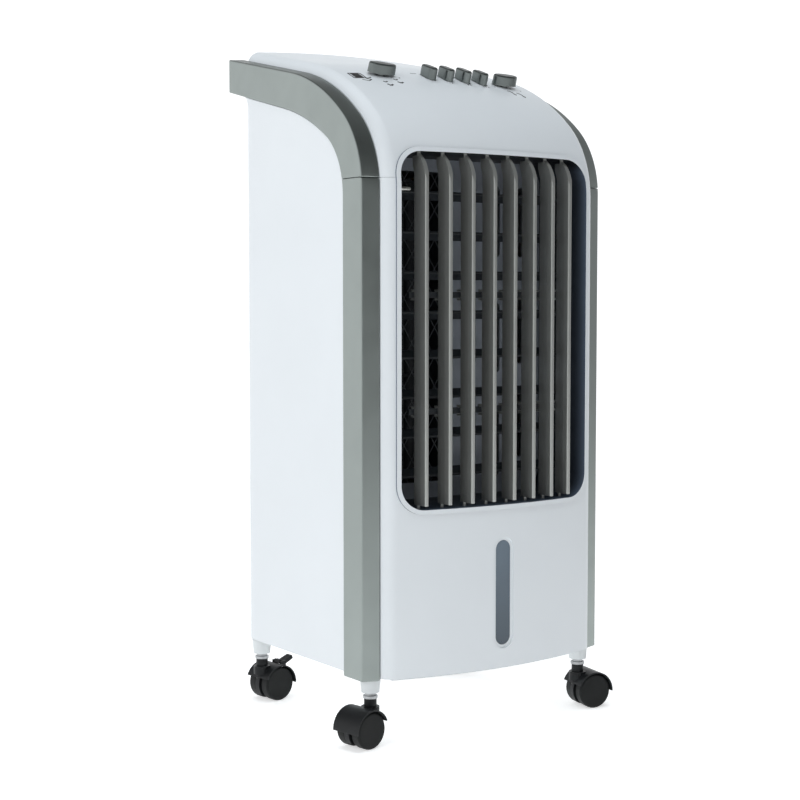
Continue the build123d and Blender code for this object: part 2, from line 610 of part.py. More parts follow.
with BuildPart() as outlet_mesh:
    mesh_y = CASING_FRONT + CASING_THICK + 0.3
    with BuildSketch(Plane.XZ.offset(-mesh_y)):
        with Locations(((WINDOW_LEFT + WINDOW_RIGHT) / 2, (OUTLET_LOW + OUTLET_HIGH) / 2)):
            Rectangle(WINDOW_RIGHT - WINDOW_LEFT + 6, OUTLET_HIGH - OUTLET_LOW + 6)
            Rectangle(WINDOW_RIGHT - WINDOW_LEFT, OUTLET_HIGH - OUTLET_LOW, mode=Mode.SUBTRACT)
        strand_lean = degrees(atan2(MESH_PITCH, MESH_RISE))
        for lean in (-strand_lean, strand_lean):
            for step in range(-16, 17):
                with Locations(((WINDOW_LEFT + WINDOW_RIGHT) / 2 + step * MESH_PITCH,
                                (OUTLET_LOW + OUTLET_HIGH) / 2)):
                    Rectangle(MESH_STRAND, 420, rotation=lean)
        with Locations(((WINDOW_LEFT + WINDOW_RIGHT) / 2, (OUTLET_LOW + OUTLET_HIGH) / 2)):
            Rectangle(WINDOW_RIGHT - WINDOW_LEFT + 6, OUTLET_HIGH - OUTLET_LOW + 6,
                      mode=Mode.INTERSECT)
    extrude(amount=-0.9)
save(outlet_mesh, "outlet_mesh")

with BuildPart() as fan_scroll:
    front_y = CASING_FRONT + CASING_THICK + 2.6
    with BuildSketch(Plane.XY.offset(SCROLL_LOW)):
        with BuildLine():
            wall_path = Polyline((WINDOW_LEFT - 3, front_y), (WINDOW_LEFT - 5, FAN_Y - 6))
            ThreePointArc((WINDOW_LEFT - 5, FAN_Y - 6), (FAN_X - 36, FAN_Y + 32), (FAN_X - 14, FAN_Y + 48))
            offset(amount=1.1, side=Side.BOTH)
        make_face()
        with BuildLine():
            Polyline((WINDOW_RIGHT + 2, front_y), (WINDOW_RIGHT + 2, FAN_Y - 32), (-5, FAN_Y - 18),
                     (4, FAN_Y - 16), (4, front_y), (WINDOW_RIGHT + 2, front_y))
        make_face()
    extrude(amount=SCROLL_HIGH - SCROLL_LOW)
    for plate_z in (SCROLL_LOW - 2.2, SCROLL_HIGH):
        with BuildSketch(Plane.XY.offset(plate_z)):
            with Locations(((WINDOW_LEFT + 8) / 2 - 2, (front_y + FAN_Y + 50) / 2)):
                Rectangle(8 - WINDOW_LEFT + 10, FAN_Y + 50 - front_y)
            with Locations((FAN_X, FAN_Y)):
                Circle(SHAFT_RADIUS + 2.2, mode=Mode.SUBTRACT)
        extrude(amount=2.2)
    for leg_x in (-36, 36):
        for leg_y in (-34, 34):
            post(FAN_X + leg_x, FAN_Y + leg_y, SCROLL_HIGH + 2.1, SCROLL_HIGH + MOTOR_LIFT, 4.0)
save(fan_scroll, "fan_scroll")

with BuildPart() as fan_impeller:
    with BuildSketch(Plane.XY.offset(FAN_LOW)):
        for blade in range(FAN_BLADES):
            with PolarLocations(0, 1, start_angle=blade * 360 / FAN_BLADES):
                with BuildLine(mode=Mode.PRIVATE) as blade_line:
                    ThreePointArc((FAN_RADIUS - 11, -2.0), (FAN_RADIUS - 5, -2.6), (FAN_RADIUS - 0.8, 1.6))
                    offset(amount=0.55, side=Side.BOTH)
                add(make_face(blade_line.edges(), mode=Mode.PRIVATE))
    extrude(amount=FAN_HIGH - FAN_LOW)
    for disc_z in (FAN_LOW, FAN_LOW + 81, FAN_LOW + 162, FAN_HIGH - 2.5):
        with BuildSketch(Plane.XY.offset(disc_z)):
            Circle(FAN_RADIUS)
            if FAN_LOW < disc_z < FAN_HIGH - 3:
                Circle(FAN_RADIUS - 12, mode=Mode.SUBTRACT)
        extrude(amount=2.5)
    post(0, 0, FAN_LOW - 2, FAN_LOW + 16, 10.0)
    post(0, 0, FAN_HIGH - 16, FAN_HIGH + 2, 10.0)
    post(0, 0, FAN_LOW - 5, FAN_HIGH + 5, SHAFT_RADIUS, mode=Mode.SUBTRACT)
fan_impeller.part = fan_impeller.part.moved(Location((FAN_X, FAN_Y, 0)))
save(fan_impeller, "fan_impeller")

with BuildPart() as fan_shaft:
    post(FAN_X, FAN_Y, 195.5, 486.0, SHAFT_RADIUS)
    post(FAN_X, FAN_Y, FAN_LOW - 3.6, FAN_LOW - 2.4, SHAFT_RADIUS + 1.4)
save(fan_shaft, "fan_shaft")

with BuildPart() as lower_bearing:
    post(FAN_X, FAN_Y, 193.0, SCROLL_LOW - 2.4, 9.0)
    post(FAN_X, FAN_Y, 191.0, 193.0, 14.0)
    post(FAN_X, FAN_Y, 195.0, 210.0, SHAFT_RADIUS + 0.05, mode=Mode.SUBTRACT)
save(lower_bearing, "lower_bearing")

MOTOR_LOW = SCROLL_HIGH + MOTOR_LIFT + 0.2

with BuildPart() as fan_motor:
    post(FAN_X, FAN_Y, MOTOR_LOW, MOTOR_LOW + 3, 44.0)
    with BuildSketch(Plane.XY.offset(MOTOR_LOW + 2.5)):
        with Locations((FAN_X, FAN_Y)):
            Circle(37.0)
    extrude(amount=31)
    fillet(fan_motor.edges().filter_by(GeomType.CIRCLE).group_by(Axis.Z)[-1], 6)
    with BuildSketch(Plane.XY.offset(MOTOR_LOW + 14)):
        with Locations((FAN_X, FAN_Y)):
            Circle(39.0)
            Circle(36.0, mode=Mode.SUBTRACT)
    extrude(amount=8)
    post(FAN_X, FAN_Y, MOTOR_LOW - 2, 487.0, SHAFT_RADIUS + 0.06, mode=Mode.SUBTRACT)
save(fan_motor, "fan_motor")

# ---------------------------------------------------------------- deck, pad and water
HOSE_RADIUS = 3.5
HOSE_X, HOSE_SIDE_X, HOSE_Y = 70.0, 105.0, 70.0
PUMP_TOP = 106.0

with BuildPart() as mid_deck:
    with BuildSketch(Plane.XY.offset(DECK_LOW)):
        with BuildLine():
            bow = ThreePointArc((-100, face_y(100) + 7), (0, FRONT_FACE + 6), (100, face_y(100) + 7))
            Polyline(bow @ 1, (100, -60), (118.5, -60), (118.5, 84), (106, 97), (-106, 97), (-118.5, 84),
                     (-118.5, -60), (-100, -60), bow @ 0)
        make_face()
        with Locations((0, 74)):
            SlotOverall(120, 16, mode=Mode.SUBTRACT)
        with Locations((HOSE_X, HOSE_Y)):
            Circle(HOSE_RADIUS + 1.0, mode=Mode.SUBTRACT)
    extrude(amount=DECK_THICK)
    for rib_x in (-60, 60):
        slab(rib_x - 1.2, rib_x + 1.2, -88, 50, DECK_LOW + DECK_THICK - 0.1, 187.5)
    post(FAN_X, FAN_Y, DECK_LOW + DECK_THICK - 0.1, 190.8, 16)
save(mid_deck, "mid_deck")

with BuildPart() as pad_frame:
    slab(-PAD_HALF - 5, PAD_HALF + 5, PAD_FRONT - 2, PAD_FRONT + PAD_DEPTH + 2, PAD_LOW - 5, PAD_HIGH + 5)
    slab(-PAD_HALF - 0.2, PAD_HALF + 0.2, PAD_FRONT - 0.2, PAD_FRONT + PAD_DEPTH + 0.2,
         PAD_LOW - 0.2, PAD_HIGH + 0.2, mode=Mode.SUBTRACT)
    with BuildSketch(Plane.XZ.offset(-(PAD_FRONT - 10))):
        with Locations((0, (PAD_LOW + PAD_HIGH) / 2)):
            with GridLocations(57, 74, 3, 4):
                RectangleRounded(50, 67, 4)
    extrude(amount=-(PAD_DEPTH + 30), mode=Mode.SUBTRACT)
    with BuildSketch(Plane.XY.offset(PAD_HIGH + 2)):
        with Locations((0, PAD_FRONT + PAD_DEPTH / 2)):
            with GridLocations(20, 1, 8, 1):
                Circle(2.5)
    extrude(amount=10, both=True, mode=Mode.SUBTRACT)
    for foot_x in (-80, 80):
        slab(foot_x - 6, foot_x + 6, PAD_FRONT + 14, PAD_FRONT + 20, DECK_LOW + DECK_THICK + 0.1,
             PAD_LOW - 4.9)
    slab(-68, 68, PAD_FRONT + 6, PAD_FRONT + 14, PAD_LOW - 12, PAD_LOW - 4.9)
save(pad_frame, "pad_frame")

with BuildPart() as evaporative_pad:
    slab(-PAD_HALF, PAD_HALF, PAD_FRONT, PAD_FRONT + PAD_DEPTH, PAD_LOW, PAD_HIGH)
save(evaporative_pad, "evaporative_pad")

TRAY_LOW = PAD_HIGH + 5.2

with BuildPart() as water_distributor:
    slab(-90, 90, PAD_FRONT - 3, PAD_FRONT + PAD_DEPTH + 3, TRAY_LOW, TRAY_LOW + 13)
    slab(-88, 88, PAD_FRONT - 1, PAD_FRONT + PAD_DEPTH + 1, TRAY_LOW + 2, TRAY_LOW + 14, mode=Mode.SUBTRACT)
    with BuildSketch(Plane.XY.offset(TRAY_LOW - 1)):
        with Locations((0, PAD_FRONT + PAD_DEPTH / 2)):
            with GridLocations(20, 1, 8, 1):
                Circle(1.5)
    extrude(amount=5, mode=Mode.SUBTRACT)
    with BuildSketch(Plane.YZ.offset(89)):
        with Locations((HOSE_Y, TRAY_LOW + 7)):
            Circle(3.6)
    extrude(amount=3.0)
    with BuildSketch(Plane.YZ.offset(86)):
        with Locations((HOSE_Y, TRAY_LOW + 7)):
            Circle(2.2)
    extrude(amount=8.0, mode=Mode.SUBTRACT)
save(water_distributor, "water_distributor")

with BuildPart() as water_pump:
    slab(HOSE_X - 19, HOSE_X + 19, HOSE_Y - 16, HOSE_Y + 16, 66, PUMP_TOP - 8)
    fillet(water_pump.edges().filter_by(Axis.Z), 6)
    post(HOSE_X, HOSE_Y, PUMP_TOP - 8.1, PUMP_TOP, 3.4)
    with BuildSketch(Plane.XZ.offset(-(HOSE_Y - 17))):
        with Locations((HOSE_X, 80)):
            with GridLocations(7, 7, 4, 3):
                Circle(2.0)
    extrude(amount=-4, mode=Mode.SUBTRACT)
    slab(HOSE_X - 17, HOSE_X - 12, HOSE_Y - 12, HOSE_Y + 12, PUMP_TOP - 10, DECK_LOW - 0.2)
    slab(HOSE_X - 17, HOSE_X - 5, HOSE_Y - 12, HOSE_Y + 12, DECK_LOW - 2.6, DECK_LOW - 0.2)
save(water_pump, "water_pump")

with BuildPart() as pump_hose:
    hose_bend = 12.0
    with BuildLine():
        hose_path = FilletPolyline(
            (HOSE_X, HOSE_Y, PUMP_TOP + 0.1), (HOSE_X, HOSE_Y, 183), (HOSE_SIDE_X, HOSE_Y, 183),
            (HOSE_SIDE_X, HOSE_Y, TRAY_LOW + 7), (92.3, HOSE_Y, TRAY_LOW + 7), radius=hose_bend,
        )
    with BuildSketch(Plane(origin=hose_path @ 0, z_dir=hose_path % 0)):
        Circle(HOSE_RADIUS)
    sweep()
save(pump_hose, "pump_hose")

GRIP_LOW, GRIP_HIGH, GRIP_HALF = 112.0, 138.0, 42.0

with BuildPart() as water_tank:
    slab(-TANK_HALF, TANK_HALF, TANK_FRONT, TANK_REAR - WALL, TANK_LOW, TANK_HIGH)
    fillet(water_tank.edges().filter_by(Axis.Z), 8)
    slab(-TANK_HALF - 1.5, TANK_HALF + 1.5, TANK_REAR - WALL, TANK_REAR + 0.8, FLOOR_LINE + 1,
         TANK_DOOR_HIGH - 0.5)
    slab(-TANK_HALF + WALL, TANK_HALF - WALL, TANK_FRONT + WALL, TANK_REAR - WALL - 1, TANK_LOW + WALL,
         TANK_HIGH + 5, mode=Mode.SUBTRACT)
    slab(-GRIP_HALF - 3, GRIP_HALF + 3, TANK_REAR - 21, TANK_REAR, GRIP_LOW - 3, GRIP_HIGH + 3)
    slab(-GRIP_HALF, GRIP_HALF, TANK_REAR - 18, TANK_REAR + 10, GRIP_LOW, GRIP_HIGH, mode=Mode.SUBTRACT)
save(water_tank, "water_tank")

CASSETTE_FRONT, CASSETTE_REAR = 88.0, 103.0
GRILLE_SLOT_PITCH = 9.0
PULL_HALF = 32.0            # half width of the ridge that pulls the cassette out

with BuildPart() as filter_cassette:
    slab(-FILTER_HALF + 0.6, FILTER_HALF - 0.6, CASSETTE_FRONT, CASSETTE_REAR, FILTER_LOW + 0.6,
         FILTER_HIGH - 0.6)
    fillet(filter_cassette.edges().group_by(Axis.Y)[-1], 2.0)
    slab(-FILTER_HALF + 5, FILTER_HALF - 5, CASSETTE_FRONT - 5, CASSETTE_REAR - 3, FILTER_LOW + 5,
         FILTER_HIGH - 5, mode=Mode.SUBTRACT)
    with BuildSketch(Plane.XZ.offset(-(CASSETTE_REAR + 1))):
        with Locations((0, (FILTER_LOW + FILTER_HIGH) / 2 - 10)):
            with GridLocations(54, GRILLE_SLOT_PITCH, 3, 31):
                SlotOverall(48, 5.0)
    extrude(amount=10, mode=Mode.SUBTRACT)
    slab(-PULL_HALF, PULL_HALF, CASSETTE_REAR - 1, CASSETTE_REAR + 4, FILTER_HIGH - 16, FILTER_HIGH - 13)
save(filter_cassette, "filter_cassette")

with BuildPart() as dust_filter:
    slab(-FILTER_HALF + 5.3, FILTER_HALF - 5.3, CASSETTE_REAR - 6, CASSETTE_REAR - 3.2, FILTER_LOW + 5.3,
         FILTER_HIGH - 5.3)
save(dust_filter, "dust_filter")

with BuildPart() as cord_gland:
    with BuildSketch(Plane.XZ.offset(-(BACK + 1.8))):
        with Locations((GLAND_X, GLAND_Z)):
            Circle(GLAND_RADIUS + 3.4)
            Circle(3.1, mode=Mode.SUBTRACT)
    extrude(amount=1.6)
    with BuildSketch(Plane.XZ.offset(-(BACK + 0.3))):
        with Locations((GLAND_X, GLAND_Z)):
            Circle(GLAND_RADIUS + 1.7)
            Circle(3.1, mode=Mode.SUBTRACT)
    extrude(amount=6)
save(cord_gland, "cord_gland")

SCREW_HEAD_RADIUS, SCREW_HEAD = 3.6, 1.6

with BuildPart() as shell_screws:
    for screw_x in (-SCREW_X, SCREW_X):
        for screw_z in SCREW_HEIGHTS:
            with BuildSketch(Plane.XZ.offset(-(BACK - 10))):
                with Locations((screw_x, screw_z)):
                    Circle(SCREW_RADIUS)
            extrude(amount=-10.5)
            with BuildSketch(Plane.XZ.offset(-(BACK + 0.1))):
                with Locations((screw_x, screw_z)):
                    Circle(SCREW_HEAD_RADIUS)
            extrude(amount=-SCREW_HEAD)
            with BuildSketch(Plane.XZ.offset(-(BACK + SCREW_HEAD / 2))):
                with Locations((screw_x, screw_z)):
                    Rectangle(4.2, 0.9)
                    Rectangle(0.9, 4.2)
            extrude(amount=-SCREW_HEAD, mode=Mode.SUBTRACT)
save(shell_screws, "shell_screws")

# ---------------------------------------------------------------- controls
for index, key_x in enumerate(KEY_X, start=1):
    plane = control_plane(key_x)
    with BuildPart() as key:
        with BuildSketch(plane.offset(-5)):
            SlotOverall(KEY_LENGTH, KEY_WIDTH, rotation=90)
        extrude(amount=KEY_RISE + 5)
        fillet(key.faces().sort_by(Axis(plane.origin, plane.z_dir))[-1].edges(), 1.6)
        with BuildSketch(plane.offset(-16)):
            Rectangle(3.0, 7.0)
        extrude(amount=11.2)
    save(key, f"key_{index}")

KNOB_LONG, KNOB_SHORT = 12.2, 7.2   # half axes of the knob's oval
KNOB_LIFT, KNOB_RISE = 1.3, 8.6

for knob_name, knob_x, turn in (("knob_left", KNOB_X[0], -12.0), ("knob_right", KNOB_X[1], 0.0)):
    plane = control_plane(knob_x)
    with BuildPart() as knob:
        with BuildSketch(plane.offset(KNOB_LIFT)):
            Ellipse(KNOB_LONG, KNOB_SHORT, rotation=turn)
        extrude(amount=KNOB_RISE, taper=2)
        fillet(knob.faces().sort_by(Axis(plane.origin, plane.z_dir))[-1].edges(), 1.5)
        with BuildSketch(plane.offset(-17)):
            Circle(3.0)
        extrude(amount=18.4)
    save(knob, knob_name)

with BuildPart() as switch_bank:
    bank_plane = control_plane(14.0, -19)
    with BuildSketch(bank_plane):
        RectangleRounded(84, 24, 2)
    extrude(amount=-17)
    with BuildSketch(bank_plane.offset(-0.1)):
        for key_x in KEY_X:
            with Locations((key_x - 14.0, 0)):
                Rectangle(6, 12)
                Rectangle(3.6, 7.6, mode=Mode.SUBTRACT)
    extrude(amount=6)
    with BuildSketch(bank_plane.offset(4)):
        for key_x in KEY_X:
            with Locations((key_x - 14.0, 0)):
                Rectangle(3.6, 7.6)
    extrude(amount=-7, mode=Mode.SUBTRACT)
save(switch_bank, "switch_bank")

SWITCH_BODY = 23.0

with BuildPart() as rotary_switches:
    for knob_x in KNOB_X:
        plane = control_plane(knob_x)
        with BuildSketch(plane.offset(-7)):
            RectangleRounded(SWITCH_BODY, SWITCH_BODY, 2)
        extrude(amount=-16)
        with BuildSketch(plane.offset(-7.1)):
            Circle(5.4)
        extrude(amount=3.5)
        with BuildSketch(plane.offset(0)):
            Circle(3.1)
        extrude(amount=-18, mode=Mode.SUBTRACT)
save(rotary_switches, "rotary_switches")

# ---------------------------------------------------------------- castors
HOOD_RADIUS, HOOD_WIDTH, HOOD_WEB = 17.0, 29.0, 5.2
HOOD_SKIRT_TURN = -12.0     # lean of the hood's lower edge
NECK_RADIUS, NECK_HIGH = 5.15, 37.8
COLLAR_RADIUS, COLLAR_LOW, COLLAR_HIGH = 7.4, 24.0, 31.5
WHEEL_WIDTH, WHEEL_MIDDLE = 9.6, 8.3    # width of one wheel and its distance from the middle
WHEEL_ROUND = 2.0
AXLE_RADIUS, AXLE_HALF = 2.0, 12.6
STEM_RADIUS, STEM_LOW = 3.0, 28.0
STEM_FLANGE, FLANGE_LOW, FLANGE_HIGH = 6.0, 38.2, 40.4
STEM_NUT = 4.4
BRAKE_PIVOT = (9.0, 31.4)   # brake pin: outwards from the axle, and height
BRAKE_PIN = 1.0

with BuildPart() as castor_stems:
    for stem_x, stem_y, _, _ in CASTORS.values():
        post(stem_x, stem_y, STEM_LOW, PLATE_HIGH, STEM_RADIUS)
        post(stem_x, stem_y, FLANGE_LOW, FLANGE_HIGH, STEM_FLANGE)
        post(stem_x, stem_y, FLANGE_HIGH - 0.1, SOCKET_LOW - 0.1, STEM_NUT)
save(castor_stems, "castor_stems")

for castor_name, (stem_x, stem_y, trailing, braked) in CASTORS.items():
    place = Location((stem_x, stem_y, 0), (0, 0, trailing))
    with BuildPart() as hood:
        with BuildSketch(Plane.XZ.offset(HOOD_WIDTH / 2)):
            with Locations((TRAIL, WHEEL_RADIUS)):
                Circle(HOOD_RADIUS)
                Circle(WHEEL_RADIUS + 0.8, mode=Mode.SUBTRACT)
            with Locations((TRAIL + 3, 6)):
                Rectangle(60, 22, rotation=HOOD_SKIRT_TURN, mode=Mode.SUBTRACT)
        extrude(amount=-HOOD_WIDTH)
        with BuildSketch(Plane.XZ.offset(HOOD_WEB / 2)):
            with Locations((TRAIL, WHEEL_RADIUS)):
                Circle(WHEEL_RADIUS + 1.2)
            with Locations((TRAIL, 1)):
                Rectangle(60, 8, mode=Mode.SUBTRACT)
        extrude(amount=-HOOD_WEB)
        post(0, 0, COLLAR_LOW - 4, NECK_HIGH, NECK_RADIUS)
        post(0, 0, COLLAR_LOW, COLLAR_HIGH, COLLAR_RADIUS)
        post(0, 0, STEM_LOW - 0.5, FLANGE_HIGH + 5, STEM_RADIUS + FIT, mode=Mode.SUBTRACT)
        with BuildSketch(Plane.XZ.offset(HOOD_WIDTH)):
            with Locations((TRAIL, WHEEL_RADIUS)):
                Circle(AXLE_RADIUS + FIT)
        extrude(amount=-2 * HOOD_WIDTH, mode=Mode.SUBTRACT)
        if braked:
            for ear_y in (-6.0, 4.2):
                slab(TRAIL + 6, TRAIL + 12, ear_y, ear_y + 1.8, COLLAR_LOW, BRAKE_PIVOT[1] + 2)
        for side in (-1, 1):
            with BuildSketch(Plane.XZ.offset(HOOD_WEB / 2 + FIT if side > 0 else -HOOD_WIDTH)):
                with Locations((TRAIL, WHEEL_RADIUS)):
                    Circle(WHEEL_RADIUS + 0.75)
            extrude(amount=HOOD_WIDTH - HOOD_WEB / 2 - FIT, mode=Mode.SUBTRACT)
        if braked:
            slab(TRAIL + 5, TRAIL + 13, -4, 4, 26.0, 36.0, mode=Mode.SUBTRACT)
            with BuildSketch(Plane.XZ.offset(10)):
                with Locations((TRAIL + BRAKE_PIVOT[0], BRAKE_PIVOT[1])):
                    Circle(BRAKE_PIN + FIT / 2)
            extrude(amount=-20, mode=Mode.SUBTRACT)
    hood.part = hood.part.moved(place)
    save(hood, f"castor_hood_{castor_name}")

    with BuildPart() as wheels:
        for side in (-1, 1):
            with BuildSketch(Plane.XZ.offset(side * WHEEL_MIDDLE - WHEEL_WIDTH / 2)):
                with Locations((TRAIL, WHEEL_RADIUS)):
                    Circle(WHEEL_RADIUS)
            extrude(amount=WHEEL_WIDTH)
        fillet(wheels.edges().filter_by(GeomType.CIRCLE), WHEEL_ROUND)
        with BuildSketch(Plane.XZ.offset(AXLE_HALF)):
            with Locations((TRAIL, WHEEL_RADIUS)):
                Circle(AXLE_RADIUS)
        extrude(amount=-2 * AXLE_HALF)
    wheels.part = wheels.part.moved(place)
    save(wheels, f"castor_wheels_{castor_name}")

    if braked:
        with BuildPart() as brake:
            with BuildSketch(Plane.XZ.offset(3.6)):
                with BuildLine():
                    Polyline((TRAIL + 6, 31.6), (TRAIL + 12, 29.0), (TRAIL + 22, 33.5), (TRAIL + 21, 36.5),
                             (TRAIL + 12, 33.2), (TRAIL + 7, 34.6), (TRAIL + 6, 31.6))
                make_face()
            extrude(amount=-7.2)
            with BuildSketch(Plane.XZ.offset(6.0)):
                with Locations((TRAIL + BRAKE_PIVOT[0], BRAKE_PIVOT[1])):
                    Circle(BRAKE_PIN)
            extrude(amount=-12.0)
        brake.part = brake.part.moved(place)
        save(brake, f"brake_lever_{castor_name}")
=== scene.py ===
"""Studio scene of an evaporative air cooler: looks, fine pieces, light and camera round the CAD frame."""

import json
import math

import bpy
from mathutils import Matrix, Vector
from mathutils.bvhtree import BVHTree


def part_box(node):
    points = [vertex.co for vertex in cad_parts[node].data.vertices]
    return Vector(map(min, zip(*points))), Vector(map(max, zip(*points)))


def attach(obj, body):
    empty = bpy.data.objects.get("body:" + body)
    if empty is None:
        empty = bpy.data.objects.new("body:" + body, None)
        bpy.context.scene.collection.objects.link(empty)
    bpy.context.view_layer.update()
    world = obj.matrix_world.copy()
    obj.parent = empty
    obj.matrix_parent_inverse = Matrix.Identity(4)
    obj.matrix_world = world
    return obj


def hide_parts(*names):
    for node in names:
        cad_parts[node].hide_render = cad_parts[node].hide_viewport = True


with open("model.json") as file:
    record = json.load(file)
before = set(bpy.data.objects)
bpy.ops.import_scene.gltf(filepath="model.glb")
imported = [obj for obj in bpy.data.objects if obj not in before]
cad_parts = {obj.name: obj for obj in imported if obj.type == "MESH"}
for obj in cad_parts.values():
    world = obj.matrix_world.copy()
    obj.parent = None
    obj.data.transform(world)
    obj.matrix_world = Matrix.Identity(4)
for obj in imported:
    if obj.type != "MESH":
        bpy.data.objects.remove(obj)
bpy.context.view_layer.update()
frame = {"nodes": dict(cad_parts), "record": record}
nodes = frame["nodes"]
MM = 0.001


# ---------------------------------------------------------------- material building
def new_material(name):
    """An empty node material: its tree, its shader and its object-space coordinates."""
    material = bpy.data.materials.new(name)
    material.use_nodes = True
    tree = material.node_tree
    tree.nodes.clear()
    output = tree.nodes.new("ShaderNodeOutputMaterial")
    shader = tree.nodes.new("ShaderNodeBsdfPrincipled")
    tree.links.new(shader.outputs["BSDF"], output.inputs["Surface"])
    place = tree.nodes.new("ShaderNodeTexCoord").outputs["Object"]
    return material, tree, shader, place


def noise(tree, place, scale, detail=4.0, rough=0.6):
    """Fractal noise over the object, scale in waves per metre."""
    node = tree.nodes.new("ShaderNodeTexNoise")
    node.inputs["Scale"].default_value = scale
    node.inputs["Detail"].default_value = detail
    node.inputs["Roughness"].default_value = rough
    tree.links.new(place, node.inputs["Vector"])
    return node.outputs["Fac"]


def stretch(tree, place, factors):
    """The coordinates scaled differently along X, Y and Z."""
    node = tree.nodes.new("ShaderNodeMapping")
    node.inputs["Scale"].default_value = factors
    tree.links.new(place, node.inputs["Vector"])
    return node.outputs["Vector"]


RANGE_SOCKETS = ("From Min", "From Max", "To Min", "To Max")


def remap(tree, value, low, high, to_low, to_high):
    """The value moved from one range to another, clamped."""
    node = tree.nodes.new("ShaderNodeMapRange")
    for socket, number in zip(RANGE_SOCKETS, (low, high, to_low, to_high)):
        node.inputs[socket].default_value = number
    tree.links.new(value, node.inputs["Value"])
    return node.outputs["Result"]


def math_node(tree, operation, first, second=None):
    """One arithmetic node; an operand is a socket or a number."""
    node = tree.nodes.new("ShaderNodeMath")
    node.operation = operation
    for socket, operand in zip(node.inputs, (first, second)):
        if operand is None:
            continue
        if isinstance(operand, (int, float)):
            socket.default_value = operand
        else:
            tree.links.new(operand, socket)
    return node.outputs["Value"]


def blend_colours(tree, factor, first, second):
    """Mix of two colours, each a tuple or a socket."""
    node = tree.nodes.new("ShaderNodeMix")
    node.data_type = "RGBA"
    tree.links.new(factor, node.inputs["Factor"])
    for socket, colour in zip((node.inputs[6], node.inputs[7]), (first, second)):
        if isinstance(colour, tuple):
            socket.default_value = (*colour, 1.0)
        else:
            tree.links.new(colour, socket)
    return node.outputs[2]


def relief(tree, shader, height, strength, distance):
    """Bump from a height socket."""
    node = tree.nodes.new("ShaderNodeBump")
    node.inputs["Strength"].default_value = strength
    node.inputs["Distance"].default_value = distance
    tree.links.new(height, node.inputs["Height"])
    tree.links.new(node.outputs["Normal"], shader.inputs["Normal"])


def edge_wear(tree, colour, light, amount):
    """A paler tone where rounded edges catch wear."""
    rounded = tree.nodes.new("ShaderNodeBevel")
    rounded.samples = 4
    rounded.inputs["Radius"].default_value = 0.9 * MM
    flat = tree.nodes.new("ShaderNodeNewGeometry")
    turn = tree.nodes.new("ShaderNodeVectorMath")
    turn.operation = "DOT_PRODUCT"
    tree.links.new(rounded.outputs["Normal"], turn.inputs[0])
    tree.links.new(flat.outputs["Normal"], turn.inputs[1])
    worn = remap(tree, turn.outputs["Value"], 0.97, 0.75, 0.0, amount)
    return blend_colours(tree, worn, colour, light)


GRAIN_SCALE = 2600.0        # moulded grain, in waves per metre


def plastic(name, colour, roughness, grain, spread, metallic=0.0, coat=0.0, wear=None, specular=0.5):
    """Moulded plastic: slow colour drift, uneven gloss, fine moulded grain and paler edges."""
    material, tree, shader, place = new_material(name)
    drift = remap(tree, noise(tree, place, 9.0), 0.3, 0.7, 0.0, 1.0)
    darker = tuple(c * (1 - spread) for c in colour)
    lighter = tuple(min(1.0, c * (1 + spread)) for c in colour)
    tint = blend_colours(tree, drift, darker, lighter)
    if wear:
        tint = edge_wear(tree, tint, wear, 0.35)
    tree.links.new(tint, shader.inputs["Base Color"])
    gloss = noise(tree, place, 42.0, 3.0)
    uneven = remap(tree, gloss, 0.3, 0.7, roughness * 0.85, roughness * 1.15)
    tree.links.new(uneven, shader.inputs["Roughness"])
    shader.inputs["Metallic"].default_value = metallic
    shader.inputs["Coat Weight"].default_value = coat
    shader.inputs["Coat Roughness"].default_value = 0.15
    shader.inputs["Specular IOR Level"].default_value = specular
    relief(tree, shader, noise(tree, place, GRAIN_SCALE, 2.0), grain, 0.2 * MM)
    return material


def brushed_metal(name, colour, roughness, axis):
    """Plated or brushed metal with fine lines along one axis."""
    material, tree, shader, place = new_material(name)
    factors = [900.0, 900.0, 900.0]
    factors[axis] = 14.0
    lines = noise(tree, stretch(tree, place, tuple(factors)), 1.0, 3.0)
    drift = remap(tree, noise(tree, place, 60.0), 0.3, 0.7, 0.0, 1.0)
    darker = tuple(c * 0.86 for c in colour)
    tree.links.new(blend_colours(tree, drift, darker, colour), shader.inputs["Base Color"])
    shader.inputs["Metallic"].default_value = 1.0
    tree.links.new(remap(tree, lines, 0.3, 0.7, roughness * 0.7, roughness * 1.4), shader.inputs["Roughness"])
    relief(tree, shader, lines, 0.08, 0.1 * MM)
    return material


FACE_BOW = 1.25             # the front face falls back by this times x squared, in metres
RIM_DEPTH = 18 * MM         # the white rim's own depth, where its top leans back
WHITE_FACING = (-0.62, -0.42)   # a normal's Y where the white of the rim ends and the painted shade of the duct walls begins
ROOF_FACING = (-0.5, -0.8)      # a normal's Z where the darkest painted shade under the roof begins and is full
